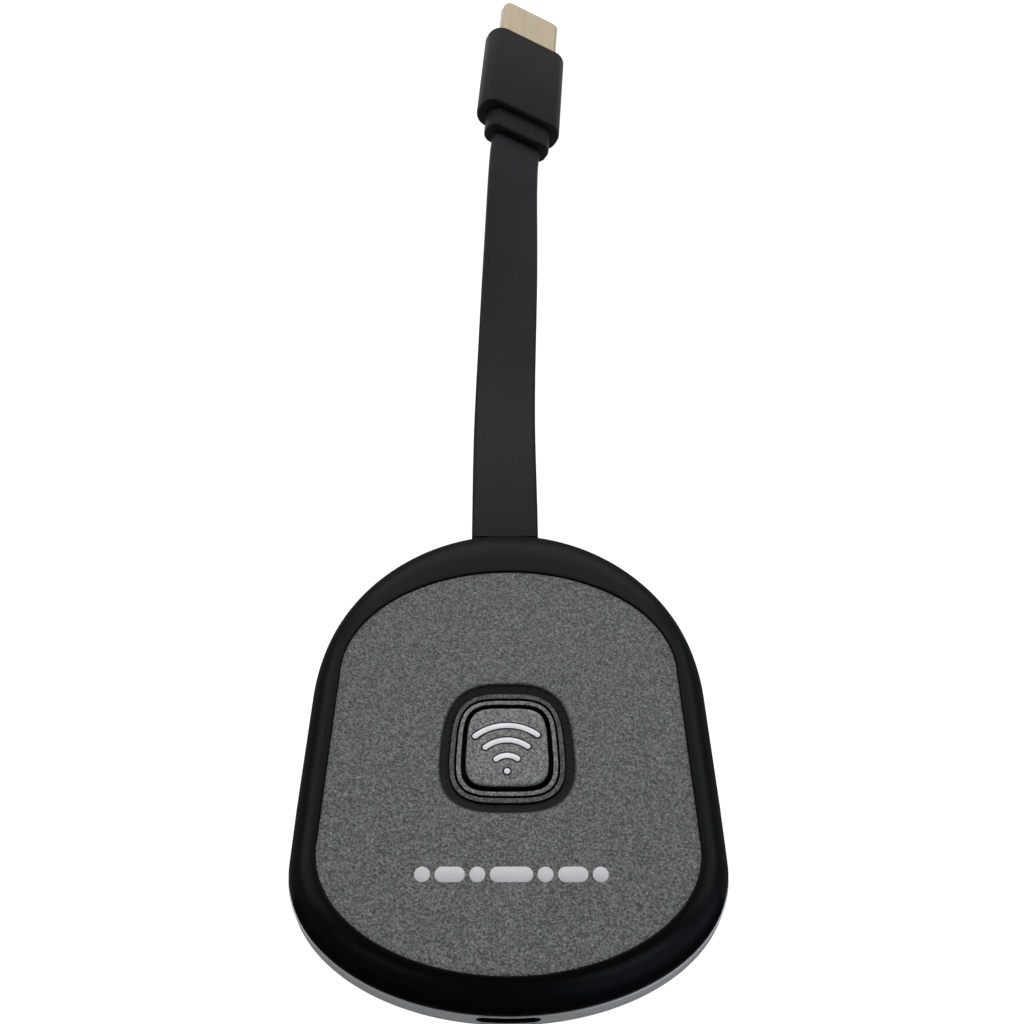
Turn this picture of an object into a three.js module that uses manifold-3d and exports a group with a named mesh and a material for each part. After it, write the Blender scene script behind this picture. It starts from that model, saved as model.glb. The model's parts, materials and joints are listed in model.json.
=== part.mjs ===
// A streaming media player: a flat egg-shaped housing with a push button in its face, a micro-USB
// socket in its near edge, and a flat video lead that ends in a 19-pin plug.
// Millimetres, +Z up, +Y from the socket towards the lead, origin under the middle of the housing.
import * as THREE from "three";
import { mergeVertices } from "three/addons/utils/BufferGeometryUtils.js";
import Module from "manifold-3d";

// ---- Driving dimensions -------------------------------------------------------------------

const GAP = 0.3; // between pieces that are cut to each other or lie side by side
const SEAT = 0.1; // between pieces that rest flat on each other
const OVERSHOOT = 1; // how far a cutter runs past what it cuts
const RING_POINTS = 72;
const BUTTON_POINTS = 40;

// The widest outline of the housing, and the outline of the inlaid face panel. Each is a half
// ellipse at the lead end and another at the socket end, joined by nearly straight sides.
const BODY = { top: { rx: 30.5, ry: 32.2, cy: 7 }, bottom: { rx: 31.7, ry: 20.2, cy: -19 } };
const PANEL = { top: { rx: 25.9, ry: 18.3, cy: 9.9 }, bottom: { rx: 27.2, ry: 16.9, cy: -19 } };

const FLOOR = 1.3; // thickness of the lower shell's floor
const WALL = 1.9;
const LIP_INSET = 1.2; // the lower shell's tongue stands this far inside its outer wall
const LOWER_TOP = 4.6;
const TONGUE_TOP = 6.1;
const UPPER_BOTTOM = LOWER_TOP + 0.2;
const RIM_TOP = 11.8;
const POCKET_FLOOR = 10.3;
const DECK_UNDERSIDE = 9.1;
const RIM_FULLNESS = 1.85; // exponent of the rim's superelliptic section

const PANEL_TOP = 11.55;
const PANEL_THICKNESS = 0.95;
const ADHESIVE = 0.15;

// The button and what surrounds it share one outline: a superellipse of exponent n that narrows
// towards the lead.
const BUTTON = { x: -0.2, y: -2.5, taper: 0.0075 };
const CAP = { w: 12, h: 12.6, n: 4.2, top: 11.6, edge: 0.35, skin: 1.2 };
const RING_IN = { w: 14.7, h: 15.3, n: 3.7, bore: { w: 13.4, h: 14, n: 4 }, top: 11.15 };
const RING_OUT = { w: 16.7, h: 17.5, n: 3.3, bore: { w: 15.3, h: 16, n: 3.6 }, top: 11.2 };
const MOAT = { foot: { w: 17.5, h: 18.3, n: 3.2 }, mouth: { w: 19.3, h: 20.4, n: 3 } };
const FLANGE = 0.8; // thickness of the inner ring's flange under the deck
const CAP_FLANGE = { out: 1.1, t: 0.7 }; // the flange that stops the cap under the inner ring

const LABEL = { w: 35.4, h: 25.4, r: 1.8, bottom: 0.12, top: 0.3, seatDepth: 0.35 };

const PCB = { bottom: 2.6, thickness: 1, inset: 2.7, farEnd: 26 };
const PCB_TOP = PCB.bottom + PCB.thickness;
const ON_BOARD = PCB_TOP + SEAT;

const SWITCH = { size: 6, bodyTop: 6.2, plungerR: 1.7, plungerTop: 6.8, plungerLength: 1.6 };

const SCREW = { headR: 1.8, headH: 1.1, shankR: 0.9, length: 6.2, point: 0.8, sunk: 0.3 };
const CROSS = { reach: 2.1, slot: 0.45, depth: 0.6 }; // the recess in a screw's head
const CLEARANCE = 0.15; // round the screws and the switch's plunger
const BOSS_R = 2.4;
const BOSSES = [
  [-19, 15],
  [19, 15],
  [-21, -19],
  [21, -19],
];

const USB = { w: 7.5, h: 2.4, depth: 5.6, front: -37.9, z: 2.8, wall: 0.25 };
const USB_OPENING = { w: 8.9, h: 2.5, r: 1.2, back: -33 };
const USB_RECESS = { w: 10.6, h: 3.2, r: 1.2, back: -38.8 };

const LEAD = { w: 11.2, t: 2.2, z: 6, x: -0.6 };
const GLAND = { w: 13.2, h: 3.6, face: 38, back: 34.9, flange: 1 };

// The lead's free stretch, from the gland to the plug, as it lies on the surface.
const LEAD_ROUTE = [
  [-0.6, 38.3, 6.0],
  [-0.62, 43, 5.95],
  [-0.66, 49, 5.5],
  [-0.7, 55, 4.6],
  [-0.72, 61, 3.5],
  [-0.7, 67, 2.45],
  [-0.62, 73, 1.65],
  [-0.5, 79, 1.2],
  [-0.34, 85, 1.15],
  [-0.17, 91, 1.4],
  [0.02, 97, 1.85],
  [0.2, 103, 2.45],
  [0.38, 109, 3.2],
  [0.54, 115, 3.9],
  [0.68, 121, 4.65],
  [0.82, 127, 5.45],
  [1, 132, 6.1],
  [1.24, 137, 6.42],
  [1.653, 141.266, 6.53],
];
const LEAD_STEPS = 40;
const TWIST = { from: 0.42, to: 0.98 }; // shares of the lead's length between which it twists

const PLUG = { x: 3.75, y: 174.6, yaw: 3.6, roll: 27, lift: 0.02 };
const COVER = { w: 19, t: 7.6, r: 3.4, length: 27 };
const NECK = { w: 14.7, t: 5.2, r: 2.2, length: 5.8 };
const SHELL = { w: 13.9, t: 4.45, r: 0.7, wall: 0.35, out: 12.5, sunk: 5, chamfer: { x: 1.5, z: 1.7 } };
const SHELL_OFFSET = 0.25; // the shell sits this far to the right of the cover's middle
const FINGERS = { w: 0.5, t: 0.2, pitch: 1, length: 7.2 };

// ---- Solids and geometries ----------------------------------------------------------------

const wasm = await Module();
wasm.setup();

function solid(geometry) {
  const bare = geometry.clone();
  bare.deleteAttribute("normal");
  bare.deleteAttribute("uv");
  const merged = mergeVertices(bare, 1e-4);
  return new wasm.Manifold(
    new wasm.Mesh({
      numProp: 3,
      vertProperties: new Float32Array(merged.attributes.position.array),
      triVerts: new Uint32Array(merged.index.array),
    }),
  );
}

function geometryOf(made) {
  const mesh = made.getMesh();
  const geometry = new THREE.BufferGeometry();
  geometry.setAttribute("position", new THREE.BufferAttribute(mesh.vertProperties, 3));
  geometry.setIndex(new THREE.BufferAttribute(mesh.triVerts, 1));
  geometry.computeVertexNormals();
  return geometry;
}

const join = (solids) => solids.reduce((all, next) => all.add(next));
const cut = (from, cutters) => cutters.reduce((left, next) => left.subtract(next), from);

/** A closed solid through rings of points that run counter-clockwise seen from above, bottom first. */
function loft(rings) {
  const count = rings[0].length;
  const index = [];
  for (let r = 0; r + 1 < rings.length; r++)
    for (let i = 0; i < count; i++) {
      const a = r * count + i;
      const b = r * count + ((i + 1) % count);
      index.push(a, b, b + count, a, b + count, a + count);
    }
  const flat = (ring) => ring.map((p) => new THREE.Vector2(p.x, p.y));
  const last = (rings.length - 1) * count;
  for (const [a, b, c] of THREE.ShapeUtils.triangulateShape(flat(rings[0]), [])) index.push(c, b, a);
  for (const [a, b, c] of THREE.ShapeUtils.triangulateShape(flat(rings.at(-1)), []))
    index.push(last + a, last + b, last + c);
  const geometry = new THREE.BufferGeometry();
  const values = rings.flat().flatMap((p) => [p.x, p.y, p.z]);
  geometry.setAttribute("position", new THREE.Float32BufferAttribute(values, 3));
  geometry.setIndex(index);
  return solid(geometry);
}

/** Points round an outline, set in by inset, starting at its socket end. */
function outline({ top, bottom }, inset = 0) {
  const lean = Math.atan((bottom.rx - top.rx) / (top.cy - bottom.cy));
  const low = (lean * bottom.ry) / bottom.rx;
  const path = new THREE.Path();
  path.absellipse(0, bottom.cy, bottom.rx - inset, bottom.ry - inset, -Math.PI / 2, low);
  path.absellipse(0, top.cy, top.rx - inset, top.ry - inset, lean, Math.PI - lean);
  path.absellipse(0, bottom.cy, bottom.rx - inset, bottom.ry - inset, Math.PI - low, 1.5 * Math.PI);
  return path.getSpacedPoints(RING_POINTS).slice(0, RING_POINTS);
}

const ring = (points, z) => points.map((p) => new THREE.Vector3(p.x, p.y, z));

/** The shape's outline, set in by inset, raised from z0 to z1. */
function slab(shape, inset, z0, z1) {
  const points = outline(shape, inset);
  return loft([ring(points, z0), ring(points, z1)]);
}

/** Rings that climb from one outline at z0 to a smaller one at z1 along a superelliptic quarter. */
function domeRings(outer, inner, z0, z1, steps) {
  const rings = [];
  for (let k = 0; k <= steps; k++) {
    const angle = (k / steps) * (Math.PI / 2);
    const inward = 1 - Math.cos(angle) ** (2 / RIM_FULLNESS);
    const up = Math.sin(angle) ** (2 / RIM_FULLNESS);
    const share = k === steps ? 1 : inward;
    const z = z0 + (z1 - z0) * (k === steps ? 1 : up);
    const points = outer.map((p, i) => p.clone().lerp(inner[i], share));
    rings.push(ring(points, z));
  }
  return rings;
}

function roundedRect(w, h, r, x = 0, y = 0) {
  const shape = new THREE.Shape();
  const [a, b] = [w / 2 - r, h / 2 - r];
  shape.absarc(x + a, y + b, r, 0, Math.PI / 2);
  shape.absarc(x - a, y + b, r, Math.PI / 2, Math.PI);
  shape.absarc(x - a, y - b, r, Math.PI, 1.5 * Math.PI);
  shape.absarc(x + a, y - b, r, 1.5 * Math.PI, 2 * Math.PI);
  return shape;
}

function extrusion(shape, depth, curveSegments, steps = 1) {
  return new THREE.ExtrudeGeometry(shape, { depth, steps, bevelEnabled: false, curveSegments });
}

/** A shape drawn in X and Y, raised from z0 to z1. */
function prism(shape, z0, z1, curveSegments = 5) {
  return solid(extrusion(shape, z1 - z0, curveSegments).translate(0, 0, z0));
}

/** A shape drawn in X and Z, running along Y from y0 to y1. */
function beam(shape, y0, y1, curveSegments = 5) {
  return solid(extrusion(shape, y1 - y0, curveSegments).rotateX(Math.PI / 2).translate(0, y1, 0));
}

function block(w, d, h, x, y, z0) {
  return solid(new THREE.BoxGeometry(w, d, h).translate(x, y, z0 + h / 2));
}

function post(r, z0, z1, x, y, sides = 16) {
  const geometry = new THREE.CylinderGeometry(r, r, z1 - z0, sides).rotateX(Math.PI / 2);
  return solid(geometry.translate(x, y, (z0 + z1) / 2));
}

/** Points round the button's outline, grown outwards by grow. */
function buttonOutline({ w, h, n }, grow = 0) {
  const bulge = (value) => Math.sign(value) * Math.abs(value) ** (2 / n);
  return Array.from({ length: BUTTON_POINTS }, (_, k) => {
    const angle = (2 * Math.PI * k) / BUTTON_POINTS;
    const x = (w / 2 + grow) * bulge(Math.cos(angle));
    const y = (h / 2 + grow) * bulge(Math.sin(angle));
    return new THREE.Vector2(BUTTON.x + x * (1 - BUTTON.taper * y), BUTTON.y + y);
  });
}

/** The button's outline raised from z0 to z1. */
function buttonPrism(size, grow, z0, z1) {
  const points = buttonOutline(size, grow);
  return loft([ring(points, z0), ring(points, z1)]);
}

// ---- Materials ----------------------------------------------------------------------------

const material = (color, roughness, metalness = 0) =>
  new THREE.MeshStandardMaterial({ color, roughness, metalness });
const BLACK_PLASTIC = material(0x0e0e10, 0.32);
const GREY_TEXTURE = material(0x5b5b5a, 0.62);
const GREY_SATIN = material(0x7b7b7c, 0.4);
const BLACK_LEAD = material(0x232324, 0.5);
const GOLD = material(0xc3b288, 0.35, 1);
const STEEL = material(0xb4b6b8, 0.3, 1);
const BOARD = material(0x14512c, 0.5);
const CHIP = material(0x17181a, 0.6);
const ALUMINIUM = material(0xaeb1b4, 0.45, 1);
const NYLON = material(0xe6e4da, 0.5);
const RUBBER = material(0x1b1b1c, 0.8);
const CERAMIC = material(0xb59a72, 0.6);
const PAPER = material(0xcfd0d0, 0.8);

const player = new THREE.Group();

function add(name, made, finish, parent = player) {
  const mesh = new THREE.Mesh(geometryOf(made), finish);
  mesh.name = name;
  parent.add(mesh);
  return mesh;
}

// ---- Housing ------------------------------------------------------------------------------

/** The opening in the lead end that holds the gland, and the wider seat for the gland's flange. */
function glandSeat() {
  const slot = { w: GLAND.w + 2 * GAP, h: GLAND.h + 2 * GAP };
  const seat = { w: slot.w + 2 * GLAND.flange, h: slot.h + 2 * GLAND.flange };
  const [slotShape, seatShape] = [slot, seat].map(({ w, h }) => roundedRect(w, h, 1.2, LEAD.x, LEAD.z));
  return [
    beam(slotShape, GLAND.back, BODY.top.cy + BODY.top.ry + OVERSHOOT),
    beam(seatShape, GLAND.back - OVERSHOOT, GLAND.back + 1 + GAP),
  ];
}

function upperHousing() {
  const outside = loft(domeRings(outline(BODY), outline(PANEL, -0.5), UPPER_BOTTOM, RIM_TOP, 7));
  const pocket = slab(PANEL, 0, POCKET_FLOOR, RIM_TOP + OVERSHOOT);
  const rabbet = slab(BODY, LIP_INSET - GAP, UPPER_BOTTOM - OVERSHOOT, TONGUE_TOP + GAP);
  const hollow = loft(
    domeRings(outline(BODY, WALL), outline(PANEL, WALL), UPPER_BOTTOM - SEAT, DECK_UNDERSIDE, 4),
  );
  const aperture = buttonPrism(RING_OUT.bore, 0, 0, RIM_TOP + OVERSHOOT);
  const shell = cut(outside, [pocket, rabbet, hollow, aperture]);
  const bosses = BOSSES.map(([x, y]) => post(BOSS_R, PCB_TOP + SEAT, DECK_UNDERSIDE + 0.5, x, y));
  const pilots = BOSSES.map(([x, y]) => post(SCREW.shankR + SEAT, 0, DECK_UNDERSIDE - 1, x, y));
  return cut(join([shell, ...bosses]), [...pilots, ...glandSeat()]);
}

function lowerShell() {
  const wall = outline(BODY);
  const foot = [
    ring(outline(BODY, 0.9), 0),
    ring(outline(BODY, 0.3), 0.25),
    ring(wall, 0.9),
    ring(wall, LOWER_TOP),
  ];
  const tongue = slab(BODY, LIP_INSET, LOWER_TOP - OVERSHOOT, TONGUE_TOP);
  const hollow = slab(BODY, WALL, FLOOR, TONGUE_TOP + OVERSHOOT);
  const bosses = BOSSES.map(([x, y]) => post(BOSS_R + 0.4, FLOOR - 0.5, PCB.bottom - SEAT, x, y));
  const headTop = SCREW.headH + SCREW.sunk;
  const heads = BOSSES.map(([x, y]) => post(SCREW.headR + CLEARANCE, -OVERSHOOT, headTop, x, y));
  const shanks = BOSSES.map(([x, y]) => post(SCREW.shankR + CLEARANCE, 0, PCB.bottom, x, y));
  const outside = BODY.bottom.cy - BODY.bottom.ry - OVERSHOOT;
  const slot = ({ w, h, r, back }) => beam(roundedRect(w, h, r, 0, USB.z), outside, back);
  const [socket, recess] = [slot(USB_OPENING), slot(USB_RECESS)];
  const labelRoom = roundedRect(LABEL.w + 2 * GAP, LABEL.h + 2 * GAP, LABEL.r + 0.2);
  const labelSeat = prism(labelRoom, -OVERSHOOT, LABEL.seatDepth);
  const shell = cut(join([loft(foot), tongue]), [hollow]);
  return cut(join([shell, ...bosses]), [...heads, ...shanks, socket, recess, labelSeat, ...glandSeat()]);
}

function facePanel() {
  const plate = slab(PANEL, GAP, PANEL_TOP - PANEL_THICKNESS, PANEL_TOP);
  const [foot, mouth] = [buttonOutline(MOAT.foot), buttonOutline(MOAT.mouth)];
  const moat = loft([ring(foot, POCKET_FLOOR), ring(mouth, PANEL_TOP), ring(mouth, RIM_TOP)]);
  return cut(plate, [moat]);
}

function panelAdhesive() {
  const z = POCKET_FLOOR + SEAT / 2;
  return cut(slab(PANEL, 1.5, z, z + ADHESIVE), [buttonPrism(MOAT.foot, 0.8, 0, RIM_TOP)]);
}

function outerRing() {
  const band = buttonPrism(RING_OUT, 0, POCKET_FLOOR + SEAT, RING_OUT.top);
  return cut(band, [buttonPrism(RING_OUT.bore, 0, 0, RIM_TOP)]);
}

/** A sleeve through the deck with a flange that holds it from below. */
function innerRing() {
  const flangeTop = DECK_UNDERSIDE - SEAT;
  const flange = buttonPrism(RING_IN, 1.2, flangeTop - FLANGE, flangeTop);
  const sleeve = buttonPrism(RING_IN, 0, flangeTop - FLANGE, RING_IN.top);
  return cut(join([sleeve, flange]), [buttonPrism(RING_IN.bore, 0, 0, RIM_TOP)]);
}

/** A hollow cap with a flange that stops it under the inner ring, and a stem over the switch. */
function buttonCap() {
  const flangeTop = DECK_UNDERSIDE - FLANGE - 2 * SEAT;
  const skirt = ring(buttonOutline(CAP), flangeTop - CAP_FLANGE.t);
  const shoulder = ring(buttonOutline(CAP), CAP.top - CAP.edge);
  const crown = ring(buttonOutline(CAP, -CAP.edge), CAP.top);
  const flange = buttonPrism(CAP, CAP_FLANGE.out, flangeTop - CAP_FLANGE.t, flangeTop);
  const inside = buttonPrism(CAP, -CAP.skin, 0, CAP.top - CAP.skin);
  const stem = post(1.5, SWITCH.plungerTop + SEAT, CAP.top - CAP.skin / 2, BUTTON.x, BUTTON.y);
  return join([cut(join([loft([skirt, shoulder, crown]), flange]), [inside]), stem]);
}

function gland() {
  const sleeve = beam(roundedRect(GLAND.w, GLAND.h, 1, LEAD.x, LEAD.z), GLAND.back, GLAND.face);
  const rim = { w: GLAND.w + 2 * GLAND.flange, h: GLAND.h + 2 * GLAND.flange };
  const flange = beam(roundedRect(rim.w, rim.h, 1.1, LEAD.x, LEAD.z), GLAND.back - 0.4, GLAND.back + 1);
  const bore = roundedRect(LEAD.w + 2 * GAP, LEAD.t + 2 * GAP, 1, LEAD.x, LEAD.z);
  return cut(join([sleeve, flange]), [beam(bore, GLAND.back - OVERSHOOT, GLAND.face + OVERSHOOT)]);
}

/** A pan-head screw standing head down, with a cross recess. */
function screw(x, y) {
  const { headR, headH, shankR, length, point, sunk } = SCREW;
  const profile = [
    [0, 0],
    [headR - 0.35, 0],
    [headR, 0.35],
    [headR, headH],
    [shankR, headH],
    [shankR, headH + length - point],
    [0, headH + length],
  ].map(([r, h]) => new THREE.Vector2(r, h));
  const turned = solid(new THREE.LatheGeometry(profile, 14).rotateX(Math.PI / 2));
  const { reach, slot, depth } = CROSS;
  const height = depth + OVERSHOOT;
  const cross = [block(reach, slot, height, 0, 0, -OVERSHOOT), block(slot, reach, height, 0, 0, -OVERSHOOT)];
  return cut(turned, cross).translate([x, y, sunk]);
}

// ---- Circuit board ------------------------------------------------------------------------

function circuitBoard() {
  const edge = slab(BODY, PCB.inset, PCB.bottom, PCB_TOP);
  const beyond = block(80, 40, 10, 0, PCB.farEnd + 20, -2);
  const notch = block(USB.w + 2 * GAP, 20, 10, 0, USB.front + USB.depth + GAP - 10, -2);
  const holes = BOSSES.map(([x, y]) => post(SCREW.shankR + GAP, 0, 6, x, y));
  return cut(edge, [beyond, notch, ...holes]);
}

function switchBody() {
  const { size, bodyTop, plungerR } = SWITCH;
  const base = block(size, size, bodyTop - ON_BOARD, BUTTON.x, BUTTON.y, ON_BOARD);
  return cut(base, [post(plungerR + CLEARANCE, 4.7, bodyTop + OVERSHOOT, BUTTON.x, BUTTON.y)]);
}

function switchPlunger() {
  const { plungerR, plungerTop, plungerLength } = SWITCH;
  return post(plungerR, plungerTop - plungerLength, plungerTop, BUTTON.x, BUTTON.y);
}

/** A finned heat sink on its thermal pad. */
function heatSink(w, d, x, y, z0, z1) {
  const base = block(w, d, 1, x, y, z0);
  const pitch = 2.4;
  const fins = [];
  for (let dx = -w / 2 + 0.5; dx <= w / 2 - 0.4; dx += pitch)
    fins.push(block(0.9, d, z1 - z0, x + dx, y, z0));
  return join([base, ...fins]);
}

/** A chip body with a row of gull-wing legs along each long side. */
function leggedChip(w, d, h, legs, x, y) {
  const parts = [block(w, d, h, x, y, ON_BOARD)];
  for (let k = 0; k < legs; k++) {
    const ly = y + (k - (legs - 1) / 2) * (d / legs);
    parts.push(block(w + 1.8, (0.45 * d) / legs, 0.3, x, ly, ON_BOARD));
  }
  return join(parts);
}

/** A stamped inverted-F antenna that stands on the board. */
function antenna(x, y) {
  const arm = block(0.4, 12, 1.4, x, y, ON_BOARD + 1.6);
  const legs = [-5.8, -3.2].map((dy) => block(0.4, 0.9, 2, x, y + dy, ON_BOARD));
  return join([arm, ...legs]);
}

// ---- Sockets and plug ---------------------------------------------------------------------

/** A connector shell section in X and Z: chamfered on its lower broad side, rounded on the upper. */
function connectorSection(w, t, r, chamfer, inset = 0) {
  const [a, b] = [w / 2 - inset, t / 2 - inset];
  const shape = new THREE.Shape();
  shape.absarc(a - r, b - r, r, 0, Math.PI / 2);
  shape.absarc(-a + r, b - r, r, Math.PI / 2, Math.PI);
  shape.lineTo(-a, -b + chamfer.z);
  shape.lineTo(-a + chamfer.x, -b);
  shape.lineTo(a - chamfer.x, -b);
  shape.lineTo(a, -b + chamfer.z);
  return shape;
}

/** A flat comb of contact fingers that point along +Y from a bar at y0, its top face at z. */
function contactComb(count, pitch, finger, z, y0, y1) {
  const half = ((count - 1) * pitch + finger.w) / 2;
  const root = y0 + 0.6;
  const shape = new THREE.Shape().moveTo(-half, y0).lineTo(half, y0);
  for (let right = half; right > -half; right -= pitch) {
    shape.lineTo(right, y1).lineTo(right - finger.w, y1);
    if (right - finger.w > -half + SEAT) shape.lineTo(right - finger.w, root).lineTo(right - pitch, root);
  }
  return prism(shape, z - finger.t, z);
}

function usbSocket() {
  const { w, h, depth, front, z, wall } = USB;
  const corner = { x: 0.9, z: 0.9 };
  const back = front + depth;
  const shell = cut(beam(connectorSection(w, h, 0.4, corner), front, back), [
    beam(connectorSection(w, h, 0.3, corner, wall), front - OVERSHOOT, back - 0.5),
    block(5.6, 1.4, 1.2, 0, back, -0.6),
  ]);
  const tongueBase = block(5, 1.2, 1.2, 0, back - 1.25, -0.6);
  const tongue = join([tongueBase, block(4.6, 3.4, 0.7, 0, back - 3.4, -0.35)]);
  const contacts = contactComb(5, 0.65, { w: 0.3, t: 0.15 }, -0.52, back - 5, back - 2);
  const raise = [0, 0, z];
  add("usb_socket_shell", shell.translate(raise), STEEL);
  add("usb_socket_tongue", tongue.translate(raise), CHIP);
  add("usb_socket_contacts", contacts.translate(raise), GOLD);
}

/** The moulded cover and the neck behind it, along Y with the cover's front face at y = 0. */
function plugMoulding(parent) {
  const { w, t, r, sunk, chamfer } = SHELL;
  const seat = beam(connectorSection(w + 2 * GAP, t + 2 * GAP, r, chamfer), -sunk - GAP, OVERSHOOT);
  const body = beam(roundedRect(COVER.w, COVER.t, COVER.r), -COVER.length, 0, 8);
  add("plug_cover", cut(body, [seat.translate([SHELL_OFFSET, 0, 0])]), BLACK_LEAD, parent);
  const neckFar = -COVER.length - GAP;
  const neck = beam(roundedRect(NECK.w, NECK.t, NECK.r), neckFar - NECK.length, neckFar, 8);
  add("plug_neck", neck, BLACK_LEAD, parent);
}

/** The plug's metal shell and what it holds, in the same axes as the moulding. */
function plugConnector(parent) {
  const { w, t, r, wall, out, sunk, chamfer } = SHELL;
  const windowY = out - 4.4;
  const windows = [-3, 3].map((x) => block(2, 2.6, t, x, windowY, -t));
  const slits = [-3.2, 3.2].map((x) => block(0.3, 3, t, x, out - 3.6, 0));
  const innerWall = { x: chamfer.x - 0.1, z: chamfer.z - 0.1 };
  const tube = cut(beam(connectorSection(w, t, r, chamfer), -sunk, out), [
    beam(connectorSection(w, t, r - 0.3, innerWall, wall), -sunk - OVERSHOOT, out + OVERSHOOT),
    ...windows,
    ...slits,
  ]);
  add("plug_shell", tube, GOLD, parent);

  const lining = { w: w - 2 * (wall + CLEARANCE), t: t - 2 * (wall + CLEARANCE) };
  const core = cut(beam(connectorSection(lining.w, lining.t, 0.4, innerWall), -sunk + 0.5, out - 0.8), [
    beam(roundedRect(11.3, 1.75, 0.2), out - 9, out + OVERSHOOT),
    ...[-3, 3].map((x) => block(2.3, 3, 1, x, windowY, -lining.t / 2 - 0.55)),
  ]);
  add("plug_insulator", core, CHIP, parent);
  const { pitch, length } = FINGERS;
  const [y0, y1] = [out - 1.6 - length, out - 1.6];
  add("plug_contacts_upper", contactComb(10, pitch, FINGERS, 0.7, y0, y1), GOLD, parent);
  add("plug_contacts_lower", contactComb(9, pitch, FINGERS, -0.5, y0, y1), GOLD, parent);
}

/** The whole plug, turned to lie on its cover's lower edge as it does on a table. */
function plug() {
  const roll = THREE.MathUtils.degToRad(PLUG.roll);
  const { w, t, r } = COVER;
  const lowest = (w / 2 - r) * Math.sin(roll) + (t / 2 - r) * Math.cos(roll) + r;
  const group = new THREE.Group();
  group.rotation.order = "ZXY";
  group.rotation.set(0, roll, THREE.MathUtils.degToRad(-PLUG.yaw));
  group.position.set(PLUG.x, PLUG.y, lowest + PLUG.lift);
  const connector = new THREE.Group();
  connector.position.x = SHELL_OFFSET;
  player.add(group.add(connector));
  plugMoulding(group);
  plugConnector(connector);
}

/** The free lead: a straight flat extrusion bent along its route and twisted towards the plug. */
function lead() {
  const points = LEAD_ROUTE.map((p) => new THREE.Vector3(...p));
  const curve = new THREE.CatmullRomCurve3(points, false, "centripetal");
  const geometry = extrusion(roundedRect(LEAD.w, LEAD.t, LEAD.t / 2 - 0.05), 1, 2, LEAD_STEPS);
  const place = geometry.getAttribute("position");
  const up = new THREE.Vector3(0, 0, 1);
  const roll = THREE.MathUtils.degToRad(PLUG.roll);
  for (let i = 0; i < place.count; i++) {
    const along = place.getZ(i);
    const tangent = curve.getTangentAt(along);
    const turn = THREE.MathUtils.smoothstep(along, TWIST.from, TWIST.to) * roll;
    const side = new THREE.Vector3().crossVectors(up, tangent).normalize().applyAxisAngle(tangent, turn);
    const normal = new THREE.Vector3().crossVectors(tangent, side);
    const point = curve.getPointAt(along);
    point.addScaledVector(side, place.getX(i)).addScaledVector(normal, place.getY(i));
    place.setXYZ(i, point.x, point.y, point.z);
  }
  return solid(geometry);
}

// ---- Assembly -----------------------------------------------------------------------------

add("upper_housing", upperHousing(), BLACK_PLASTIC);
add("lower_shell", lowerShell(), GREY_SATIN);
add("face_panel", facePanel(), GREY_TEXTURE);
add("panel_adhesive", panelAdhesive(), NYLON);
add("button_outer_ring", outerRing(), GREY_TEXTURE);
add("button_inner_ring", innerRing(), GREY_SATIN);
add("button_cap", buttonCap(), GREY_TEXTURE);
add("lead_gland", gland(), RUBBER);
add("rating_label", prism(roundedRect(LABEL.w, LABEL.h, LABEL.r), LABEL.bottom, LABEL.top), PAPER);
BOSSES.forEach(([x, y], i) => add(`housing_screw_${i + 1}`, screw(x, y), STEEL));

add("circuit_board", circuitBoard(), BOARD);
add("switch_body", switchBody(), CHIP);
add("switch_plunger", switchPlunger(), NYLON);
add("main_processor", block(12, 12, 1.2, 0, 14.2, ON_BOARD), CHIP);
add("thermal_pad", block(11, 11, 0.5, 0, 14.2, ON_BOARD + 1.3), PAPER);
add("heat_sink", heatSink(15.4, 14, 0, 14.2, ON_BOARD + 1.9, 8.7), ALUMINIUM);
add("memory_chip", leggedChip(8, 9, 1, 7, 14, 3), CHIP);
add("flash_chip", leggedChip(4.4, 5, 1.4, 4, -13, 9), CHIP);
add("wifi_module_can", block(12, 12, 2, -13, -10, ON_BOARD), STEEL);
add("wifi_antenna", antenna(-25.3, -4), GOLD);
add("crystal_can", block(3.2, 2.5, 0.9, 8.5, -11, ON_BOARD), STEEL);
add("power_inductor", prism(roundedRect(5, 5, 1.2, 13, -14), ON_BOARD, ON_BOARD + 2.6, 3), CHIP);
add("voltage_regulator", leggedChip(3, 4.6, 1.2, 3, -9, -24), CHIP);
[8, 11, 14].forEach((x, i) => add(`capacitor_${i + 1}`, block(1.6, 3.2, 1.2, x, -24, ON_BOARD), CERAMIC));
[-5.2, 5.2].forEach((x, i) => add(`status_led_${i + 1}`, block(1.2, 2, 0.8, x, 4, ON_BOARD), NYLON));
add("lead_header", block(14, 4, 3.6, LEAD.x, 23.6, ON_BOARD), NYLON);
const innerLead = roundedRect(LEAD.w, LEAD.t, LEAD.t / 2 - 0.05, LEAD.x, LEAD.z);
add("lead_inner_end", beam(innerLead, 25.6 + GAP, GLAND.face, 4), BLACK_LEAD);

usbSocket();
plug();
add("video_lead", lead(), BLACK_LEAD);

export default player;
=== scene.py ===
"""A streaming media player on a white studio floor: a flat egg-shaped housing with a grained face and
a push button, and a flat video lead that ends in a gold plug. Lengths are in millimetres until a
mesh is made, and the frame gives the places."""

import json
import math

import bmesh
import bpy
from mathutils import Matrix, Vector


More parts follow.
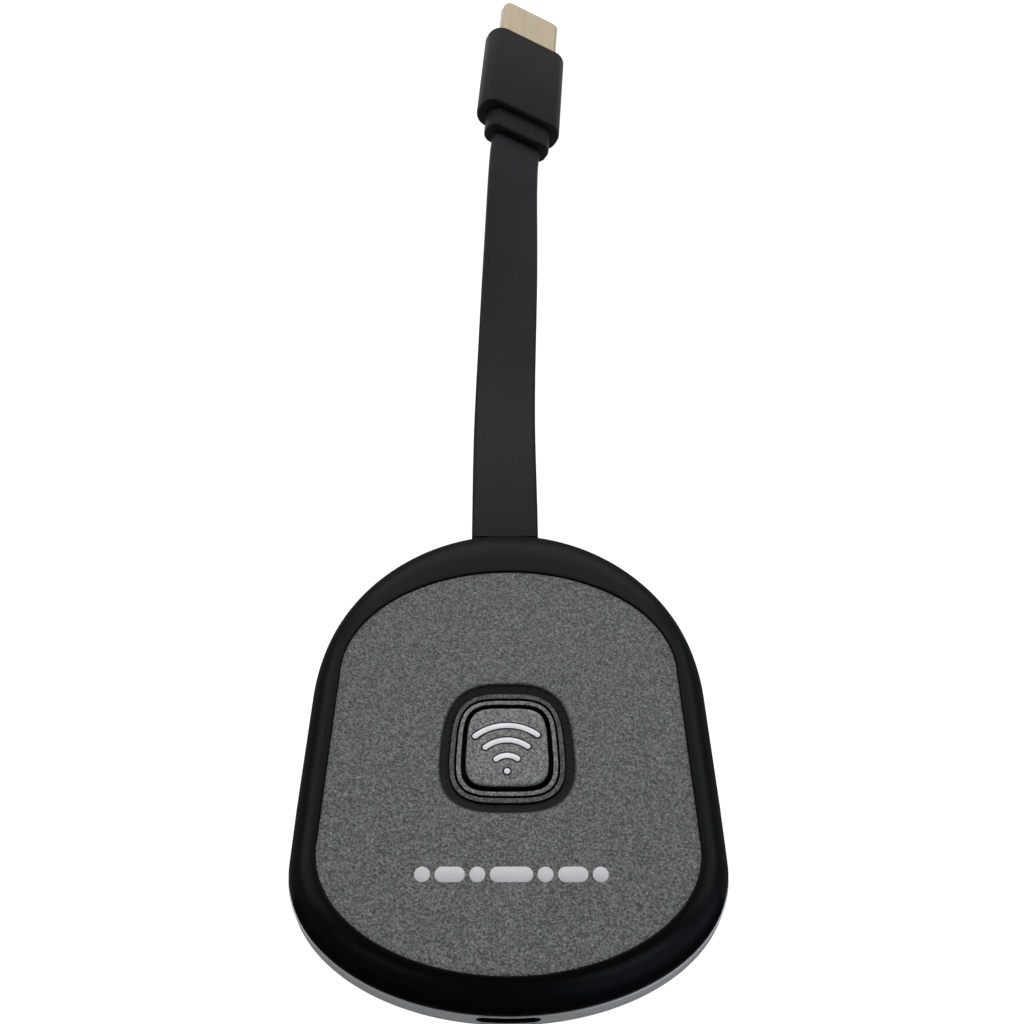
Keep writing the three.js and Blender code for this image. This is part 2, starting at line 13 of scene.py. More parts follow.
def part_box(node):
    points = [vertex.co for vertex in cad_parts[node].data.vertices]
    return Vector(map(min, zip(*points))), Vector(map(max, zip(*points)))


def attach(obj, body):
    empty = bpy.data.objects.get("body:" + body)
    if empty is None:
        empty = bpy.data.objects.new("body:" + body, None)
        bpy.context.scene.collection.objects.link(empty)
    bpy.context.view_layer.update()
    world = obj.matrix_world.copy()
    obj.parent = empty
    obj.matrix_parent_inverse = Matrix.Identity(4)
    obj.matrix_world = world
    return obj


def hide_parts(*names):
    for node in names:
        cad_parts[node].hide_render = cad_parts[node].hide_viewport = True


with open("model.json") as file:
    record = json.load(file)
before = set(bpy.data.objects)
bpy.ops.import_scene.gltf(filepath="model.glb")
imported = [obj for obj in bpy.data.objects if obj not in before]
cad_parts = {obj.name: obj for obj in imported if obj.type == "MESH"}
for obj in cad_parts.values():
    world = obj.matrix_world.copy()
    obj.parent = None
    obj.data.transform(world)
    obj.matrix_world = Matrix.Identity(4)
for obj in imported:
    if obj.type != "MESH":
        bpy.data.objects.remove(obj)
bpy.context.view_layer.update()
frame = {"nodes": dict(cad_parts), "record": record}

MM = 0.001
RECORD = frame["record"]
MOUNTS = {mount["name"]: mount for mount in RECORD["mounts"]}


def box(node):
    """The lowest and highest corners of a CAD node, in millimetres."""
    low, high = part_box(node)
    return Vector(low) / MM, Vector(high) / MM


def middle(node):
    low, high = box(node)
    return (low + high) / 2


# ---- Camera -----------------------------------------------------------------

CAMERA_PLACE = (0.0, -87.0, 186.4)
CAMERA_PITCH = 54.0  # degrees below the horizontal
CAMERA_LENS, SENSOR_WIDTH = 45.7, 36.0
CAMERA_SHIFT = 0.0034


def make_camera():
    data = bpy.data.cameras.new("camera")
    data.lens, data.sensor_width = CAMERA_LENS, SENSOR_WIDTH
    data.shift_x = CAMERA_SHIFT
    data.clip_start, data.clip_end = 0.01, 20.0
    camera = bpy.data.objects.new("camera", data)
    camera.location = Vector(CAMERA_PLACE) * MM
    camera.rotation_euler = (math.radians(90.0 - CAMERA_PITCH), 0.0, 0.0)
    bpy.context.scene.collection.objects.link(camera)
    bpy.context.scene.camera = camera


# ---- Meshes from rings ------------------------------------------------------

OUTLINE_POINTS = 288
SECTION_POINTS = 96
LEAD_POINTS = 240
INK_POINTS = 160
SHARP_ANGLE = math.radians(32.0)


def resample(points, count):
    """A closed outline's points, spread evenly along it, from the same first point."""
    closed = [Vector(p) for p in points] + [Vector(points[0])]
    lengths = [0.0]
    for a, b in zip(closed, closed[1:]):
        lengths.append(lengths[-1] + (b - a).length)
    made, k = [], 0
    for i in range(count):
        target = lengths[-1] * i / count
        while lengths[k + 1] < target:
            k += 1
        span = lengths[k + 1] - lengths[k]
        made.append(closed[k].lerp(closed[k + 1], (target - lengths[k]) / span if span else 0.0))
    return made


def level(outline, z):
    """An outline drawn in X and Y, as a ring at height z."""
    return [Vector((p[0], p[1], z)) for p in outline]


def upright(outline, y):
    """An outline drawn in X and Z, as a ring at y."""
    return [Vector((p[0], y, p[1])) for p in outline]


def between(a, b, share):
    return [p.lerp(q, share) for p, q in zip(a, b)]


def quarter(steps):
    """Pairs that run along a quarter circle from (0, 0) to (1, 1): flat first, then steep."""
    turns = [math.pi / 2 * k / steps for k in range(steps + 1)]
    return [(math.sin(t), 1.0 - math.cos(t)) for t in turns]


def shade(mesh):
    """Smooth shading that keeps every fold steeper than SHARP_ANGLE crisp."""
    for face in mesh.faces:
        face.smooth = True
    for edge in mesh.edges:
        edge.smooth = len(edge.link_faces) == 2 and edge.calc_face_angle(0.0) < SHARP_ANGLE


def piece(name, mesh_data, material=None, body="housing", replaces=()):
    """Puts a finished mesh in the scene as a piece that rides on a body."""
    thing = bpy.data.objects.new(name, mesh_data)
    bpy.context.scene.collection.objects.link(thing)
    if material is not None:
        thing.data.materials.append(material)
    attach(thing, body)
    if replaces:
        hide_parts(*replaces)
    return thing


def loft(name, rings, around=False, place=None):
    """A closed mesh through rings with the same number of points; around joins the last to the first."""
    shape = bmesh.new()
    place = place or Matrix()
    rows = [[shape.verts.new((place @ p) * MM) for p in ring] for ring in rings]
    pairs = list(zip(rows, rows[1:]))
    if around:
        pairs.append((rows[-1], rows[0]))
    for low, high in pairs:
        for i in range(len(low)):
            j = (i + 1) % len(low)
            shape.faces.new((low[i], low[j], high[j], high[i]))
    if not around:
        shape.faces.new(rows[0][::-1])
        shape.faces.new(rows[-1])
    bmesh.ops.recalc_face_normals(shape, faces=shape.faces)
    shade(shape)
    data = bpy.data.meshes.new(name)
    shape.to_mesh(data)
    shape.free()
    return data


def paint(data, per_ring, first, last, slot_index):
    """Gives the faces from one ring of a loft to a later one another of the mesh's materials."""
    for face in data.polygons[first * per_ring : last * per_ring]:
        face.material_index = slot_index


def paint_dark_and_shade(data, shares):
    """Gives each ring of a loft its share of the dark colour that a grained material fades to: the
    panel's dark moat, and painted shade on the sides of the button's cap and rings.
    """
    per_ring = len(data.vertices) // len(shares)
    values = data.attributes.new("dark", "FLOAT", "POINT")
    values.data.foreach_set("value", [share for share in shares for _ in range(per_ring)])


def carve(data, cutters, materials=(), plain=0):
    """Cuts closed meshes out of a closed mesh, and gives back the mesh that is left. With two
    materials the cut faces take the second, but for those of the first few plain cutters."""
    scene = bpy.context.scene.collection
    for mesh in (data, *cutters):
        for material in materials:
            mesh.materials.append(material)
    if len(materials) > 1:
        for cutter in cutters[plain:]:
            for face in cutter.polygons:
                face.material_index = 1
    block = bpy.data.objects.new("block", data)
    scene.objects.link(block)
    tools = []
    for cutter in cutters:
        tool = bpy.data.objects.new("tool", cutter)
        scene.objects.link(tool)
        tools.append(tool)
        cut = block.modifiers.new("cut", "BOOLEAN")
        cut.operation, cut.solver, cut.object = "DIFFERENCE", "EXACT", tool
        cut.material_mode = "INDEX"
    evaluated = block.evaluated_get(bpy.context.evaluated_depsgraph_get())
    left = bpy.data.meshes.new_from_object(evaluated)
    for thing in [block, *tools]:
        bpy.data.objects.remove(thing)
    shape = bmesh.new()
    shape.from_mesh(left)
    bmesh.ops.remove_doubles(shape, verts=shape.verts, dist=1e-7)
    bmesh.ops.dissolve_degenerate(shape, edges=shape.edges, dist=1e-7)
    shade(shape)
    shape.to_mesh(left)
    shape.free()
    return left


# ---- Outlines ---------------------------------------------------------------

ARC_STEPS = 120
BULGE_STEPS = 720


def egg(size, inset=0.0):
    """Points round the housing's outline: half an ellipse at each end, joined by nearly straight
    sides. It starts at the near end and runs counter-clockwise. The size is the outline's lowest and
    highest corners, the far ellipse's two radii and the near one's radius along Y."""
    low, high, top_rx, top_ry, bottom_ry = size
    bottom_rx = (high.x - low.x) / 2
    top_cy, bottom_cy = high.y - top_ry, low.y + bottom_ry
    lean = math.atan((bottom_rx - top_rx) / (top_cy - bottom_cy))
    dip = lean * bottom_ry / bottom_rx

    def arc(rx, ry, cy, start, end):
        turns = [start + (end - start) * k / ARC_STEPS for k in range(ARC_STEPS + 1)]
        return [((rx - inset) * math.cos(t), cy + (ry - inset) * math.sin(t)) for t in turns]

    points = arc(bottom_rx, bottom_ry, bottom_cy, -math.pi / 2, dip)
    points += arc(top_rx, top_ry, top_cy, lean, math.pi - lean)
    points += arc(bottom_rx, bottom_ry, bottom_cy, math.pi - dip, 1.5 * math.pi)[:-1]
    return resample(points, OUTLINE_POINTS)


BODY = (*box("lower_shell"), 30.5, 32.2, 20.2)
PANEL = (*box("face_panel"), 25.6, 18.0, 17.4)
PANEL_SPREAD = 0.12  # the inlay fills its pocket this much further than the plain CAD solid
PANEL_GAP = 0.08

BUTTON_PLACE = middle("button_cap")
BUTTON_TAPER = 0.0075  # the share of width that the outlines below lose per millimetre towards the lead

# Each outline about the button is its width, its length and its superellipse's exponent.
CAP = (12.0, 12.6, 4.2)
CAP_EASE = 0.42
INNER_RING = {"outer": (14.7, 15.3, 3.7), "bore": (13.4, 14.0, 4.0)}
OUTER_RING = {"outer": (16.7, 17.5, 3.3), "bore": (15.3, 16.0, 3.6)}
MOAT = {"mouth": (19.3, 20.4, 3.0), "foot": (17.1, 17.9, 3.2), "roll": 0.6, "roll_depth": 0.4}


def button_outline(width, height, power, grow=0.0):
    """A superellipse about the button that narrows towards the lead."""

    def bulge(value):
        return math.copysign(abs(value) ** (2.0 / power), value)

    points = []
    for k in range(BULGE_STEPS):
        turn = -math.pi / 2 + 2 * math.pi * k / BULGE_STEPS
        x = (width / 2 + grow) * bulge(math.cos(turn))
        y = (height / 2 + grow) * bulge(math.sin(turn))
        points.append((BUTTON_PLACE.x + x * (1.0 - BUTTON_TAPER * y), BUTTON_PLACE.y + y))
    return resample(points, OUTLINE_POINTS)


def circle(count=48):
    """Points round a circle of radius 1 about the origin, from its right side."""
    turns = [2 * math.pi * k / count for k in range(count)]
    return [(math.cos(t), math.sin(t)) for t in turns]


def rounded_rect(width, height, radius, steps=10):
    """A rounded rectangle about the origin that starts in the middle of its right side."""
    a, b = width / 2 - radius, height / 2 - radius
    points = [(width / 2, 0.0)]
    for cx, cy, start in ((a, b, 0), (-a, b, 90), (-a, -b, 180), (a, -b, 270)):
        for k in range(steps + 1):
            turn = math.radians(start + 90.0 * k / steps)
            points.append((cx + radius * math.cos(turn), cy + radius * math.sin(turn)))
    return points


# ---- Materials --------------------------------------------------------------


def mixed_colour(nodes, links, factor, first, second):
    """The output of a node that blends a colour socket into a plain colour."""
    node = nodes.new("ShaderNodeMix")
    node.data_type = "RGBA"
    colours = [socket for socket in node.inputs if socket.type == "RGBA"]
    links.new(factor, node.inputs["Factor"])
    links.new(first, colours[0])
    colours[1].default_value = (*second, 1.0)
    return next(socket for socket in node.outputs if socket.type == "RGBA")


def procedural(name, colour, roughness, metallic=0.0, specular=0.5, vary=0.08, scale=1500.0,
               detail=3.0, bump=0.0, stretch=(1.0, 1.0, 1.0), rough_vary=0.06, fleck=None):
    """A material whose colour, roughness and relief all come from noise in the object's own space.
    bump is the relief's depth in metres; fleck is (share, colour) of scattered lighter grains."""
    made = bpy.data.materials.new(name)
    made.use_nodes = True
    nodes, links = made.node_tree.nodes, made.node_tree.links
    shader = nodes["Principled BSDF"]
    where = nodes.new("ShaderNodeTexCoord")
    mapping = nodes.new("ShaderNodeMapping")
    mapping.inputs["Scale"].default_value = stretch
    links.new(where.outputs["Object"], mapping.inputs["Vector"])

    def noise(size, depth, distortion=0.0):
        node = nodes.new("ShaderNodeTexNoise")
        node.inputs["Scale"].default_value = size
        node.inputs["Detail"].default_value = depth
        node.inputs["Distortion"].default_value = distortion
        links.new(mapping.outputs["Vector"], node.inputs["Vector"])
        return node.outputs["Fac"]

    # The fine noise varies the colour and the relief, and the broad one the gloss.
    fine, broad = noise(scale, detail, 0.6), noise(scale / 40.0, 2.0)
    tint = nodes.new("ShaderNodeValToRGB")
    dark, light = [[c * (1.0 + sign * vary) for c in colour] + [1.0] for sign in (-1.0, 1.0)]
    tint.color_ramp.elements[0].position, tint.color_ramp.elements[0].color = 0.35, dark
    tint.color_ramp.elements[1].position, tint.color_ramp.elements[1].color = 0.65, light
    links.new(fine, tint.inputs["Fac"])
    base = tint.outputs["Color"]
    if fleck:
        share, fleck_colour = fleck
        specks = nodes.new("ShaderNodeMapRange")
        specks.inputs["From Min"].default_value = 1.0 - share
        specks.inputs["From Max"].default_value = 1.0 - share + 0.06
        links.new(noise(scale * 1.7, 2.0), specks.inputs["Value"])
        base = mixed_colour(nodes, links, specks.outputs["Result"], base, fleck_colour)
    links.new(base, shader.inputs["Base Color"])
    rough = nodes.new("ShaderNodeMapRange")
    rough.inputs["To Min"].default_value = roughness - rough_vary
    rough.inputs["To Max"].default_value = roughness + rough_vary
    links.new(broad, rough.inputs["Value"])
    links.new(rough.outputs["Result"], shader.inputs["Roughness"])
    shader.inputs["Metallic"].default_value = metallic
    shader.inputs["Specular IOR Level"].default_value = specular
    if bump:
        relief = nodes.new("ShaderNodeBump")
        relief.inputs["Strength"].default_value = 1.0
        relief.inputs["Distance"].default_value = bump
        links.new(fine, relief.inputs["Height"])
        links.new(relief.outputs["Normal"], shader.inputs["Normal"])
    return made


GRIT_SCALE, WORM_SCALE = 3000.0, 1900.0
GRIT_SHARE = 0.75
GRAIN_VALLEY, GRAIN_RIDGE = 0.32, 1.75  # how dark in the valleys and how light on the ridges it gets, as shares of its colour: the grain's own tone, plus painted shade and light of the relief


def grained(name, colour, depth, dark):
    """Spark-eroded plastic: short wormy ridges over a finer grit, darker in the valleys and lighter on the
    ridges, partly the grain's own tone and partly painted shade and light of the relief. Where the mesh's
    own dark value rises, the grain gives way to the dark colour, painted shade on the button's sides."""
    made = bpy.data.materials.new(name)
    made.use_nodes = True
    nodes, links = made.node_tree.nodes, made.node_tree.links
    shader = nodes["Principled BSDF"]
    where = nodes.new("ShaderNodeTexCoord")
    grit = nodes.new("ShaderNodeTexNoise")
    grit.inputs["Scale"].default_value = GRIT_SCALE
    grit.inputs["Detail"].default_value = 3.0
    grit.inputs["Roughness"].default_value = 0.6
    grit.inputs["Distortion"].default_value = 0.5
    worms = nodes.new("ShaderNodeTexNoise")
    worms.noise_type = "RIDGED_MULTIFRACTAL"
    worms.inputs["Scale"].default_value = WORM_SCALE
    worms.inputs["Detail"].default_value = 1.0
    worms.inputs["Distortion"].default_value = 0.8
    for node in (worms, grit):
        links.new(where.outputs["Object"], node.inputs["Vector"])
    height = nodes.new("ShaderNodeMix")
    height.inputs["Factor"].default_value = GRIT_SHARE
    links.new(worms.outputs["Fac"], height.inputs["A"])
    links.new(grit.outputs["Fac"], height.inputs["B"])
    # The ramp paints the relief's shade into the valleys and its light onto the ridges, over the grain's own
    # tone.
    tint = nodes.new("ShaderNodeValToRGB")
    ramp = tint.color_ramp
    ramp.elements[0].position, ramp.elements[0].color = 0.3, (*[c * GRAIN_VALLEY for c in colour], 1.0)
    ramp.elements[1].position, ramp.elements[1].color = 0.7, (*[c * GRAIN_RIDGE for c in colour], 1.0)
    links.new(height.outputs["Result"], tint.inputs["Fac"])
    share = nodes.new("ShaderNodeAttribute")
    share.attribute_name = "dark"
    base = mixed_colour(nodes, links, share.outputs["Fac"], tint.outputs["Color"], dark)
    links.new(base, shader.inputs["Base Color"])
    relief = nodes.new("ShaderNodeBump")
    relief.inputs["Strength"].default_value = 1.0
    relief.inputs["Distance"].default_value = depth
    links.new(height.outputs["Result"], relief.inputs["Height"])
    links.new(relief.outputs["Normal"], shader.inputs["Normal"])
    shader.inputs["Roughness"].default_value = 0.5
    shader.inputs["Specular IOR Level"].default_value = 0.1
    return made


SHINY_BLACK = procedural("black_plastic", (0.0016, 0.0016, 0.0017), 0.34, specular=0.05, vary=0.2,
                         scale=2600.0, bump=4e-6)
SILVER = procedural("silver_lacquer", (0.37, 0.37, 0.375), 0.36, metallic=0.35, vary=0.14,
                    scale=5200.0, bump=5e-6, fleck=(0.36, (0.56, 0.56, 0.56)))
# Each grained material fades to its last colour where its mesh is dark: the panel in its moat, and the
# button's cap and rings in the painted shade on their sides.
PANEL_GREY = grained("panel_grain", (0.15, 0.15, 0.149), 4e-4, (0.006, 0.006, 0.006))
BUTTON_GREY = grained("button_grain", (0.198, 0.198, 0.195), 1.9e-4, (0.004, 0.004, 0.004))
RING_GREY = grained("ring_grain", (0.09, 0.09, 0.0895), 1.6e-4, (0.003, 0.003, 0.003))
LEAD_BLACK = procedural("lead_sheath", (0.0065, 0.0065, 0.0072), 0.45, specular=0.065, vary=0.12,
                        scale=1800.0, bump=4e-6, stretch=(1.0, 0.25, 1.0))
PLUG_BLACK = procedural("plug_moulding", (0.0045, 0.0045, 0.0046), 0.5, specular=0.05, vary=0.15,
                        scale=3800.0, bump=8e-6)
GOLD = procedural("gold_plate", (0.25, 0.202, 0.128), 0.34, metallic=0.6, vary=0.06,
                  scale=900.0, bump=3e-6, stretch=(1.0, 0.12, 1.0))
STEEL = procedural("plated_steel", (0.5, 0.5, 0.51), 0.3, metallic=1.0, vary=0.08,
                   scale=2000.0, bump=3e-6)
# Painted shadow: the dark layer laid round and under the printed symbol.
PRINT_SHADOW = procedural("painted_print_shadow", (0.01, 0.01, 0.01), 0.6, specular=0.1, vary=0.2, scale=4200.0,
                     bump=4e-6)
SYMBOL_INK = procedural("grey_print", (0.52, 0.51, 0.54), 0.5, vary=0.05, scale=4200.0, bump=4e-6)
INK = procedural("white_print", (0.38, 0.38, 0.39), 0.5, vary=0.05, scale=4200.0, bump=4e-6)
LABEL = procedural("label_film", (0.42, 0.42, 0.43), 0.5, vary=0.04, scale=1200.0, bump=2e-6)
RUBBER = procedural("rubber", (0.012, 0.012, 0.012), 0.7, specular=0.3, vary=0.15,
                    scale=2400.0, bump=1e-5)
RESIN = procedural("chip_resin", (0.013, 0.013, 0.014), 0.62, vary=0.25, scale=3400.0, bump=8e-6)
NYLON = procedural("nylon", (0.66, 0.63, 0.54), 0.45, vary=0.05, scale=1500.0, bump=3e-6)
BOARD = procedural("solder_mask", (0.012, 0.085, 0.03), 0.35, vary=0.3, scale=420.0, bump=8e-6)
SILICONE = procedural("thermal_silicone", (0.3, 0.33, 0.38), 0.7, vary=0.08, scale=1400.0, bump=6e-6)
ALUMINIUM = procedural("extruded_aluminium", (0.62, 0.62, 0.64), 0.38, metallic=1.0, vary=0.06,
                       scale=1500.0, bump=4e-6, stretch=(1.0, 0.1, 1.0))
CERAMIC = procedural("fired_ceramic", (0.38, 0.26, 0.15), 0.55, vary=0.2, scale=2600.0, bump=8e-6)
FILM = procedural("adhesive_film", (0.55, 0.53, 0.46), 0.3, vary=0.06, scale=900.0, bump=4e-6)

SLOT_MATERIALS = {
    "black_plastic": SHINY_BLACK,
    "silver_plastic": SILVER,
    "grained_grey": PANEL_GREY,
    "satin_grey": BUTTON_GREY,
    "button_grey": BUTTON_GREY,
    "adhesive_film": FILM,
    "black_rubber": RUBBER,
    "label_film": LABEL,
    "steel": STEEL,
    "board_green": BOARD,
    "chip_black": RESIN,
    "ivory_plastic": NYLON,
    "pad_grey": SILICONE,
    "sink_aluminium": ALUMINIUM,
    "gold_plate": GOLD,
    "capacitor_tan": CERAMIC,
    "lead_black": LEAD_BLACK,
    "plug_black": PLUG_BLACK,
}


def dress_cad_nodes():
    """Gives every CAD node the procedural material of its slot."""
    slots = {part["node"]: part["material_slot"] for part in RECORD["subparts"]}
    for node, thing in frame["nodes"].items():
        thing.data.materials.clear()
        thing.data.materials.append(SLOT_MATERIALS[slots[node]])


# ---- Lead and plug ----------------------------------------------------------

# The middle of the lead, from its way out of the housing to the plug's neck.
LEAD_ROUTE = [
    (-0.6, 38.3, 6.0),
    (-0.62, 43, 5.95),
    (-0.66, 49, 5.5),
    (-0.7, 55, 4.6),
    (-0.72, 61, 3.5),
    (-0.7, 67, 2.45),
    (-0.62, 73, 1.65),
    (-0.5, 79, 1.2),
    (-0.34, 85, 1.15),
    (-0.17, 91, 1.4),
    (0.02, 97, 1.85),
    (0.2, 103, 2.45),
    (0.38, 109, 3.2),
    (0.54, 115, 3.9),
    (0.68, 121, 4.65),
    (0.82, 127, 5.45),
    (1, 132, 6.1),
    (1.24, 137, 6.42),
    (1.653, 141.266, 6.53),
]
LEAD = {"width": 11.2, "thickness": 2.2, "steps": 220}
LEAD_FLAT = 0.12  # what each narrow side keeps flat between its rounded edges
TEAR_GROOVE = {"from_edge": 1.2, "half": 0.2, "depth": 0.06}
TWIST = {"start": 0.42, "end": 0.98}  # shares of the lead's length between which it rolls over

PLUG_ROLL = 27.0  # degrees that the plug, and the lead's end with it, lean to the right
COVER = {"width": 19.0, "thickness": 7.6, "radius": 3.4, "length": 27.0, "ends": (0.7, 0.55)}
COVER_SETBACK = 0.25  # the cover stops this much short of its CAD solid's front face
NECK = {"width": 14.7, "thickness": 5.2, "radius": 2.2, "length": 5.8, "ends": (0.6, 0.1)}
NECK_GAP = 0.05
NECK_BACK = 0.25  # the neck reaches this much further over the lead
VIDEO_SHELL = {"width": 13.9, "height": 4.45, "radius": 1.1, "chamfer": (1.5, 1.7), "wall": 0.35}
SHELL_NOSE = 0.4  # how far the shell's mouth draws in
SHELL_IN, SHELL_OUT = 5.0, 12.5  # its reach behind and before the cover's front face
SHELL_OFFSET = 0.25  # it lies this far right of the cover's middle
SHELL_SEAT = {"gap": 0.15, "depth": 1.5}
LIP_BULGE = 0.8  # a rolled lip stands out this share of its wall's thickness
LATCH = {"width": 2.0, "length": 2.6, "height": 2.0, "apart": 6.0, "from_mouth": 4.4, "z": -2.2}


def smooth_route(points, per_span=24):
    """A centripetal Catmull-Rom curve through the points, sampled densely."""
    knots = [Vector(p) for p in points]
    knots = [2 * knots[0] - knots[1], *knots, 2 * knots[-1] - knots[-2]]
    made = []
    for a, b, c, d in zip(knots, knots[1:], knots[2:], knots[3:]):
        times = [0.0]
        for p, q in ((a, b), (b, c), (c, d)):
            times.append(times[-1] + (q - p).length ** 0.5)
        t0, t1, t2, t3 = times
        for k in range(per_span):
            t = t1 + (t2 - t1) * k / per_span
            ab = a.lerp(b, (t - t0) / (t1 - t0))
            bc = b.lerp(c, (t - t1) / (t2 - t1))
            cd = c.lerp(d, (t - t2) / (t3 - t2))
            abc = ab.lerp(bc, (t - t0) / (t2 - t0))
            bcd = bc.lerp(cd, (t - t1) / (t3 - t1))
            made.append(abc.lerp(bcd, (t - t1) / (t2 - t1)))
    made.append(knots[-2])
    return made


def even_steps(points, count):
    """An open line's points spread evenly along it, both ends kept."""
    lengths = [0.0]
    for a, b in zip(points, points[1:]):
        lengths.append(lengths[-1] + (b - a).length)
    made, k = [], 0
    for i in range(count + 1):
        target = lengths[-1] * i / count
        while k < len(points) - 2 and lengths[k + 1] < target:
            k += 1
        made.append(points[k].lerp(points[k + 1], (target - lengths[k]) / (lengths[k + 1] - lengths[k])))
    return made, lengths[-1]


def lead_section():
    """The flat sheath's section: round edges, and a shallow tear groove in the upper face."""
    width, thickness = LEAD["width"], LEAD["thickness"]
    groove_at = TEAR_GROOVE["from_edge"] - width / 2
    outline = resample(rounded_rect(width, thickness, (thickness - LEAD_FLAT) / 2), LEAD_POINTS)
    made = []
    for x, z in outline:
        dip = max(0.0, 1.0 - abs(x - groove_at) / TEAR_GROOVE["half"]) * TEAR_GROOVE["depth"]
        made.append(Vector((x, z - dip if z > 0 else z)))
    return made


def make_lead():
    """The flat lead along its route, rolling over to the plug's lean on its way."""
    centres, length = even_steps(smooth_route(LEAD_ROUTE), LEAD["steps"])
    section = lead_section()
    rings = []
    for k, centre in enumerate(centres):
        ahead, behind = centres[min(k + 1, len(centres) - 1)], centres[max(k - 1, 0)]
        tangent = (ahead - behind).normalized()
        share = (k / LEAD["steps"] - TWIST["start"]) / (TWIST["end"] - TWIST["start"])
        share = min(1.0, max(0.0, share))
        turn = share * share * (3 - 2 * share) * math.radians(PLUG_ROLL)
        side = tangent.cross(Vector((0, 0, 1))).normalized()
        side = Matrix.Rotation(turn, 3, tangent) @ side
        normal = side.cross(tangent)
        rings.append([centre + side * p[0] + normal * p[1] for p in section])
    lead = piece("flat_lead", loft("flat_lead", rings), LEAD_BLACK, replaces=["video_lead"])
    return lead, centres, length


def plug_place():
    """The plug's own axes, with its origin in the middle of the cover's front face."""
    along = Vector(MOUNTS["plug_seating_face"]["axis"]).normalized()
    side = along.cross(Vector((0, 0, 1))).normalized()
    side = Matrix.Rotation(math.radians(PLUG_ROLL), 3, along) @ side
    up = side.cross(along)
    front = middle("plug_cover") + along * (COVER["length"] / 2)
    return Matrix.Translation(front) @ Matrix((side, along, up)).transposed().to_4x4()


def shrink(outline, amount):
    """An upright outline moved inwards along its own normals."""
    count = len(outline)
    made = []
    for i, p in enumerate(outline):
        step = outline[(i + 1) % count] - outline[i - 1]
        inward = Vector((-step.y, step.x)).normalized()
        made.append(p + inward * amount)
    return made


def moulded_bar(name, size, y0, y1, place, hollow=None):
    """A rounded bar along Y whose ends have rounded edges, and a hollow of (outline, depth) in its far
    end."""
    round_near, round_far = size["ends"]
    outline = resample(rounded_rect(size["width"], size["thickness"], size["radius"]), SECTION_POINTS * 2)
    rings = [upright(shrink(outline, round_near * (1 - a)), y0 + round_near * b) for a, b in quarter(6)]
    rings += [upright(shrink(outline, round_far * (1 - a)), y1 - round_far * b) for a, b in quarter(6)[::-1]]
    if hollow:
        mouth, depth = hollow
        rings += [upright(mouth, y1), upright(mouth, y1 - depth)]
    return loft(name, rings, place=place)


def connector_section(width, height, radius, chamfer, inset=0.0):
    """A plug shell's section in X and Z: rounded above and chamfered below."""
    a, b = width / 2 - inset, height / 2 - inset
    r = max(0.1, radius - inset)
    cx, cz = chamfer
    points = [(a, 0.0)]
    for middle_x, start in ((a - r, 0), (-a + r, 90)):
        for k in range(9):
            turn = math.radians(start + 90.0 * k / 8)
            points.append((middle_x + r * math.cos(turn), b - r + r * math.sin(turn)))
    points += [(-a, -b + cz), (-a + cx * 0.15, -b + cz * 0.78), (-a + cx * 0.85, -b + cz * 0.1)]
    points += [(-a + cx, -b), (a - cx, -b)]
    points += [(a - cx * 0.85, -b + cz * 0.1), (a - cx * 0.15, -b + cz * 0.78)]
    points.append((a, -b + cz))
    return resample(points, SECTION_POINTS * 2)


def stamped_shell(name, size, nose, y0, y1, place, cutters=()):
    """A thin stamped tube along Y. Its mouth draws in by the nose and has a rounded lip."""
    wall = size["wall"]

    def section(draw_in, inset=0.0):
        width = size["width"] - 2 * draw_in
        return connector_section(width, size["height"], size["radius"], size["chamfer"], inset)

    curve = quarter(6)
    outer, inner = [[section(nose * b, inset) for a, b in curve] for inset in (0.0, wall)]
    places = [y1 - wall - nose * (1 - a) for a, b in curve]
    rings = [upright(outer[0], y0)] + [upright(ring, y) for ring, y in zip(outer, places)]
    for k in range(1, 6):
        turn = math.pi * k / 6
        share = (1 - math.cos(turn)) / 2
        y = y1 - wall + wall * math.sin(turn) * LIP_BULGE
        rings.append(upright(between(outer[-1], inner[-1], share), y))
    rings += [upright(ring, y) for ring, y in zip(inner[::-1], places[::-1])]
    rings.append(upright(inner[0], y0))
    shell = loft(name, rings, around=True, place=place)
    return carve(shell, list(cutters)) if cutters else shell


def cutting_block(width, depth, height, x, y, z, place=None, radius=0.1):
    """A rounded block centred on a point, to cut with; its rounded outline is in X and Y."""
    outline = rounded_rect(width, depth, radius, 4)
    rings = [[Vector((x + p[0], y + p[1], z + side * height / 2)) for p in outline] for side in (-1, 1)]
    return loft("cutter", rings, place=place)


def make_plug(place):
    """The plug in its own axes: its cover, with a seat for the shell, its neck and its shell."""
    across, high, radius, chamfer = [VIDEO_SHELL[k] for k in ("width", "height", "radius", "chamfer")]
    seat = connector_section(across, high, radius, chamfer, -SHELL_SEAT["gap"])
    hollow = ([p + Vector((SHELL_OFFSET, 0)) for p in seat], SHELL_SEAT["depth"])
    back = -COVER["length"]
    cover = moulded_bar("plug_grip", COVER, back, -COVER_SETBACK, place, hollow)
    piece("plug_grip", cover, PLUG_BLACK, replaces=["plug_cover"])
    neck_far = back - NECK_GAP
    neck_near = neck_far - NECK["length"] - NECK_BACK
    neck = moulded_bar("plug_collar", NECK, neck_near, neck_far, place)
    piece("plug_collar", neck, PLUG_BLACK, replaces=["plug_neck"])
    place = place @ Matrix.Translation((SHELL_OFFSET, 0, 0))
    latch = [LATCH[k] for k in ("width", "length", "height")]
    latch_y = SHELL_OUT - LATCH["from_mouth"]
    sides = [side * LATCH["apart"] / 2 for side in (-1, 1)]
    cutters = [cutting_block(*latch, x, latch_y, LATCH["z"], place, 0.3) for x in sides]
    shell = stamped_shell("video_shell", VIDEO_SHELL, SHELL_NOSE, -SHELL_IN, SHELL_OUT, place, cutters)
    piece("video_shell", shell, GOLD, replaces=["plug_shell"])


# ---- Housing ----------------------------------------------------------------

